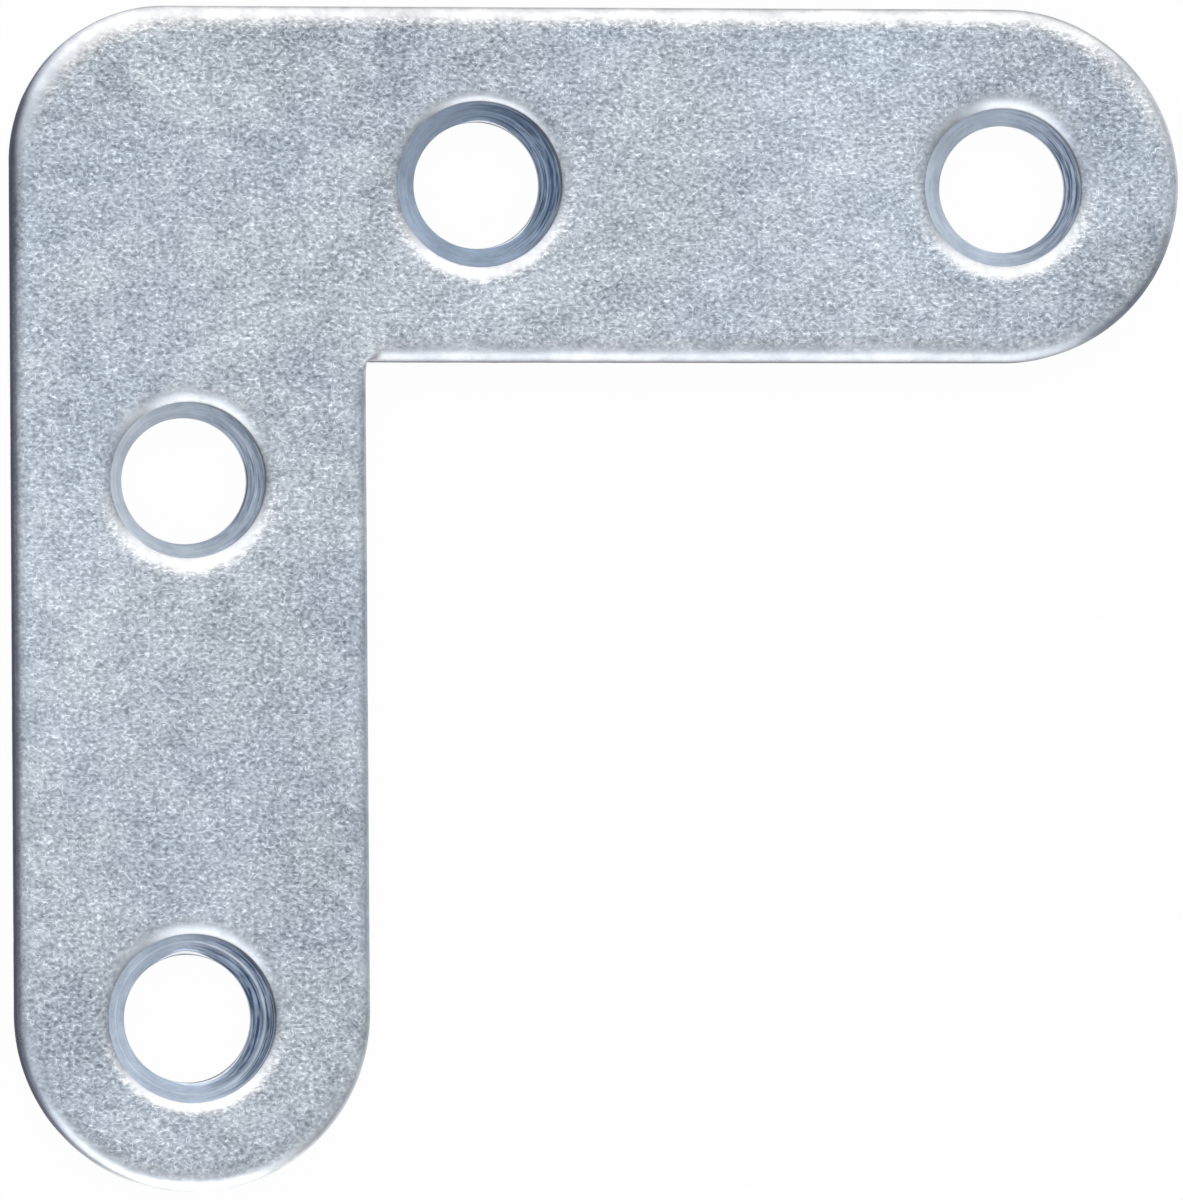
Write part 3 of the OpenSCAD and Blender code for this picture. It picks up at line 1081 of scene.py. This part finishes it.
def panel_light(n, direction, elevation, panel):
    """Brightness that one soft panel adds in each direction."""
    turn = math.radians(panel["azimuth"])
    ahead = n.add("ShaderNodeVectorMath", {"operation": "DOT_PRODUCT"})
    n.set(ahead, "0", direction)
    n.set(ahead, "1", (math.cos(turn), math.sin(turn), 0))
    aside = n.add("ShaderNodeVectorMath", {"operation": "DOT_PRODUCT"})
    n.set(aside, "0", direction)
    n.set(aside, "1", (-math.sin(turn), math.cos(turn), 0))
    off_axis = maths(n, "ARCTAN2", aside.outputs["Value"], ahead.outputs["Value"])
    off_axis = maths(n, "ABSOLUTE", off_axis)

    def soft_edge(value, full, none):
        return mapped(n, value, 1.0, 0.0, math.radians(full), math.radians(none), "SMOOTHSTEP")

    across = soft_edge(off_axis, panel["half_width"], panel["half_width"] + panel["side_fade"])
    over = soft_edge(elevation, panel["high"], panel["high"] + panel["top_fade"])
    under = soft_edge(elevation, panel["low"], panel["low"] - BOTTOM_FADE)
    inside_panel = maths(n, "MULTIPLY", maths(n, "MULTIPLY", across, over), under)
    return maths(n, "MULTIPLY", inside_panel, panel["adds"])


def make_world():
    """A studio that is pale overhead, with soft panels round it; the camera sees white."""
    world = bpy.data.worlds.new("studio")
    world.use_nodes = True
    n = Nodes(world.node_tree)
    direction = n.add("ShaderNodeTexCoord").outputs["Generated"]
    height = n.add("ShaderNodeSeparateXYZ", Vector=direction).outputs["Z"]
    elevation = maths(n, "ARCSINE", height)
    overhead = math.radians(OVERHEAD_FROM)
    level = mapped(n, elevation, HORIZON_LEVEL, OVERHEAD_LEVEL, 0.0, overhead, "SMOOTHSTEP")
    for panel in PANELS:
        level = maths(n, "ADD", level, panel_light(n, direction, elevation, panel))
    studio = n.add("ShaderNodeBackground", Color=(1, 1, 1, 1), Strength=level)
    white = n.add("ShaderNodeBackground", Color=(1, 1, 1, 1), Strength=1.0)
    mix = n.add("ShaderNodeMixShader", Fac=n.add("ShaderNodeLightPath").outputs["Is Camera Ray"])
    n.set(mix, "1", studio.outputs[0])
    n.set(mix, "2", white.outputs[0])
    out = n.add("ShaderNodeOutputWorld")
    n.set(out, "Surface", mix.outputs[0])
    bpy.context.scene.world = world


# The camera, fitted to the outline in the photograph: the point it turns about, its distance
# from that point, its turns in radians, how far it is shifted sideways and up, the scale at
# that point in pixels of the 1200 high photograph, and the width of its sensor. Lengths are
# in millimetres.
AIM = (17.5, -17.5, 1.0)
CAMERA_DISTANCE = 756.16
CAMERA_TURN = (-0.04154, 0.16057, 0.00741)
CAMERA_OFFSET = (-0.31423, -0.06743)
PIXELS_PER_MM = 23.636
PHOTO_HEIGHT = 1200
SENSOR = 36.0

# The nearest and the farthest that the camera sees, in metres
CLIP_START = 0.05
CLIP_END = 10


def make_camera():
    """The camera at the photograph's angle."""
    turn_x, turn_y, turn_z = CAMERA_TURN
    turn = Matrix.Rotation(turn_z, 3, "Z") @ Matrix.Rotation(turn_x, 3, "X")
    turn = turn @ Matrix.Rotation(turn_y, 3, "Y")
    facing = turn.transposed()
    data = bpy.data.cameras.new("camera")
    data.sensor_width = SENSOR
    data.lens = PIXELS_PER_MM * CAMERA_DISTANCE * SENSOR / PHOTO_HEIGHT
    data.clip_start = CLIP_START
    data.clip_end = CLIP_END
    camera = bpy.data.objects.new("camera", data)
    spot = Vector(AIM) + facing @ Vector((*CAMERA_OFFSET, CAMERA_DISTANCE))
    camera.matrix_world = Matrix.Translation(spot * MM) @ facing.to_4x4()
    bpy.context.scene.collection.objects.link(camera)
    bpy.context.scene.camera = camera


def make_plate():
    """The plate's visible surface, in the place of the frame's plain solid."""
    data = plate_shell().mesh("zinc_plate")
    data.shade_smooth()
    data.set_sharp_from_angle(angle=math.radians(SHARP_FROM))
    data.materials.append(zinc_material())
    plate = bpy.data.objects.new("zinc_plate", data)
    bpy.context.scene.collection.objects.link(plate)
    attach(plate, "root")
    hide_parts("corner_plate")
    return plate


bpy.context.scene.view_settings.view_transform = "Standard"
make_camera()
make_plate()
make_floor()
make_world()
